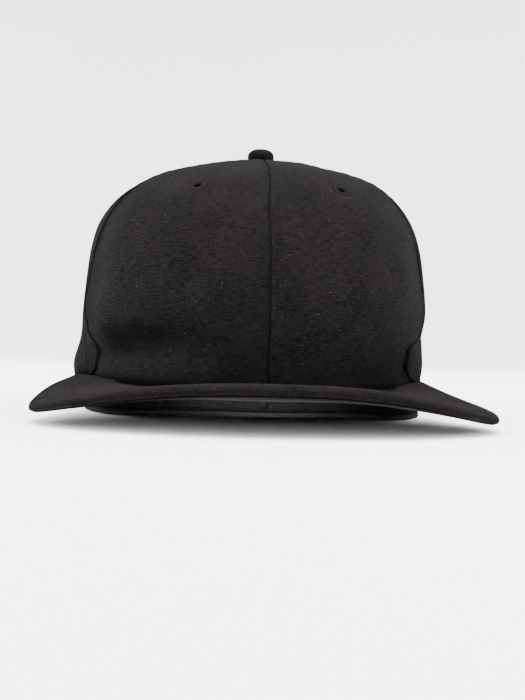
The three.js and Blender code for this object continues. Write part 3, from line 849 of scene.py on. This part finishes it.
def woven_cloth(name, dark, light, pitch, slub, lint):
    """Plain-woven cloth on its own map in millimetres, with slubs, blotches, specks of lint, and shade
    painted into its colour from the mesh's attribute.
    """
    look = Look(name)
    cloth = look.node("ShaderNodeUVMap", {"uv_map": "cloth"}, {})
    u, v = (look.node("ShaderNodeSeparateXYZ", {}, {0: cloth}, output=k) for k in (0, 1))
    waver_u = look.noise(look.joined(u * 0.05, v * 0.35), 1.0, 1.0)
    waver_v = look.noise(look.joined(u * 0.35, v * 0.05, 7.0), 1.0, 1.0)
    warp_turn = (u + waver_u * 0.5) * (math.pi / pitch)
    weft_turn = (v + waver_v * 0.5) * (math.pi / (pitch * 1.12))
    warp_wave, weft_wave = look.maths("SINE", warp_turn), look.maths("SINE", weft_turn)
    warp, weft = look.maths("ABSOLUTE", warp_wave), look.maths("ABSOLUTE", weft_wave)
    warp_on_top = (warp_wave * weft_wave) > 0.0
    weave = warp_on_top * (warp ** 0.5 * (0.6 + 0.4 * weft)) \
        + (1 - warp_on_top) * (weft ** 0.5 * (0.6 + 0.4 * warp))
    slubs = look.noise(look.joined(u * 0.3, v * 1.5, 3.0), 1.0, 3.0, 0.6)
    warp_slubs = look.noise(look.joined(u * 1.5, v * 0.3, 11.0), 1.0, 2.0, 0.6)
    broad = look.noise(look.joined(u, v, 5.0), 0.045, 3.0, 0.55)
    streaks = look.smooth_range(slubs, -0.5, 0.5, 0.3, 0.7)
    streaks = streaks + 0.45 * look.smooth_range(warp_slubs, -0.5, 0.5, 0.3, 0.7)
    patches = look.noise(look.joined(u, v * 1.2, 15.0), 1.5, 2.0, 0.6)
    tone = 0.42 + slub * streaks + 0.5 * (broad - 0.5) + 0.62 * (patches - 0.5) + 0.2 * (weave - 0.6)
    cells, luck = (look.node("ShaderNodeTexVoronoi", {"voronoi_dimensions": "3D"},
                             {"Vector": look.joined(u * 0.8, v, 2.0), "Scale": 0.42}, output=k)
                   for k in (0, 1))
    chance = look.node("ShaderNodeSeparateColor", {}, {0: luck})
    speck = (chance > (1 - lint)) * look.smooth_range(cells, 1.0, 0.0, 0.03, 0.16)
    # painted shade: the colour goes towards near black where the mesh's attribute says so
    painted_shade = look.node("ShaderNodeAttribute", {"attribute_name": "painted_shade"}, {}, output=2)
    colour = look.blend(look.within_one(tone), (*dark, 1), (*light, 1))
    colour = look.blend(look.maths("MINIMUM", painted_shade * 0.95, 1.0), colour, PAINTED_SHADE_COLOUR)
    colour = look.blend(speck * 0.2, colour, LINT_COLOUR)
    roughness = 0.86 + 0.1 * (slubs - 0.5)
    fuzz = look.noise(look.joined(u, v, 9.0), 3.1, 2.0)
    height = weave * 0.75 + slubs * 0.9 + fuzz * 0.35 + speck * 0.8
    normal = look.node("ShaderNodeBump", {}, {"Strength": 0.55, "Distance": 0.00022, "Height": height})
    return look.finish({"Base Color": colour, "Roughness": roughness, "Specular IOR Level": 0.0,
                        "Sheen Weight": 0.015, "Sheen Roughness": 0.45, "Sheen Tint": SHEEN_TINT}, normal)


def sewing_thread():
    """Matte black thread with a fine grain."""
    look = Look("black_thread")
    place = look.node("ShaderNodeTexCoord", {}, {}, output=3)
    grain = look.noise(place, 900.0, 2.0)
    broad = look.noise(place, 60.0, 2.0)
    tone = look.within_one(0.5 * grain + 0.5 * broad)
    colour = look.blend(tone, (0.0020, 0.0017, 0.0020, 1), (0.0150, 0.0132, 0.0150, 1))
    normal = look.node("ShaderNodeBump", {}, {"Strength": 0.4, "Distance": 0.0001, "Height": grain})
    return look.finish({"Base Color": colour, "Roughness": 0.6 + 0.2 * grain,
                        "Specular IOR Level": 0.0}, normal)


def studio_paper():
    look = Look("studio_paper")
    place = look.node("ShaderNodeTexCoord", {}, {}, output=3)
    grain = look.noise(place, 3.0, 2.0)
    colour = look.blend(grain, (0.86, 0.86, 0.855, 1), (0.9, 0.9, 0.895, 1))
    normal = look.node("ShaderNodeBump", {}, {"Strength": 0.05, "Distance": 0.001, "Height": grain})
    return look.finish({"Base Color": colour, "Roughness": 0.9, "Specular IOR Level": 0.1}, normal)


# Studio

FLOOR = {"flat": 2.0, "curve": 0.8, "top": 2.6}      # metres
MIDDLE = (0, 0, 0.06)
LIGHTS = [                      # name, place, what it faces, size across and along, power
    ("overhead", (0, 0.1, 1.9), MIDDLE, (2.4, 2.4), 225),
    ("key_left", (-1.7, -0.5, 0.8), MIDDLE, (1.2, 1.2), 50),
    ("fill_right", (1.8, -0.5, 0.7), MIDDLE, (1.2, 1.2), 46),
    ("behind_left", (-1.3, 1.3, 0.9), MIDDLE, (1.2, 1.2), 28),
    ("behind_right", (1.3, 1.3, 0.9), MIDDLE, (1.2, 1.2), 28),
    ("under_visor", (0, -0.087, 0.0015), (0, -0.0869, 0.1), (0.15, 0.045), 0.27),
]
AIR_STRENGTH = 0.65
# The photo's camera: place in metres, turn and roll in degrees, lens and sensor in millimetres, and
# the sideways shift of the picture as a share of its height
CAMERA = {"place": (-0.02669, -0.4748, 0.029), "turn": -3, "roll": 1.4, "lens": 54, "sensor": 36,
          "shift": 10.3 / 700}


def add_floor(material):
    """A pale round floor that curves up into walls all round."""
    bm = bmesh.new()
    flat, curve = FLOOR["flat"], FLOOR["curve"]
    outline = [(0.0, 0.0), (1.6, 0.0), (flat, 0.0)]
    outline += [(flat + curve * math.sin(t), curve - curve * math.cos(t))
                for t in np.linspace(0.15, math.pi / 2, 10)]
    outline += [(flat + curve, FLOOR["top"])]
    corners = [bm.verts.new((radius, 0, height)) for radius, height in outline]
    line = [bm.edges.new(pair) for pair in zip(corners, corners[1:])]
    spin_round(bm, corners + line, steps=96, weld=1e-5)
    bmesh.ops.recalc_face_normals(bm, faces=bm.faces)
    bmesh.ops.reverse_faces(bm, faces=bm.faces)
    floor = finished("studio_floor", bm, material)


def add_light(name, place, aim, size, power):
    light = bpy.data.lights.new(name, "AREA")
    light.shape = "RECTANGLE"
    light.size, light.size_y = size
    light.energy = power
    lamp = put(name, light)
    lamp.location = place
    lamp.rotation_euler = (Vector(aim) - Vector(place)).to_track_quat("-Z", "Y").to_euler()
    lamp.visible_camera = False


def add_air():
    """Even light from all round."""
    world = bpy.data.worlds.new("studio_air")
    world.use_nodes = True
    world.node_tree.nodes["Background"].inputs[0].default_value = (1, 1, 1, 1)
    world.node_tree.nodes["Background"].inputs[1].default_value = AIR_STRENGTH
    bpy.context.scene.world = world


def add_camera():
    camera = bpy.data.cameras.new("camera")
    camera.lens = CAMERA["lens"]
    camera.sensor_width = CAMERA["sensor"]
    camera.shift_x = CAMERA["shift"]
    camera.clip_start = 0.01
    stand = put("camera", camera)
    level = Matrix.Rotation(math.radians(90), 4, "X")
    turn = Matrix.Rotation(math.radians(CAMERA["turn"]), 4, "Z")
    roll = Matrix.Rotation(math.radians(CAMERA["roll"]), 4, "Z")
    stand.matrix_world = Matrix.Translation(CAMERA["place"]) @ turn @ level @ roll
    bpy.context.scene.camera = stand


# The whole cap

cloths = {name: woven_cloth(name, *values) for name, values in CLOTHS.items()}
black_thread = sewing_thread()

for panel in PANELS:
    add_panel(panel, cloths["crown_cloth"])
    add_eyelet(panel, black_thread)
seam_stitches(black_thread)
add_button(cloths["button_cloth"])
add_visor(cloths["visor_cloth"])
visor_stitches(black_thread)
add_band(cloths["band_cloth"])
add_floor(studio_paper())
for light in LIGHTS:
    add_light(*light)
add_air()
add_camera()
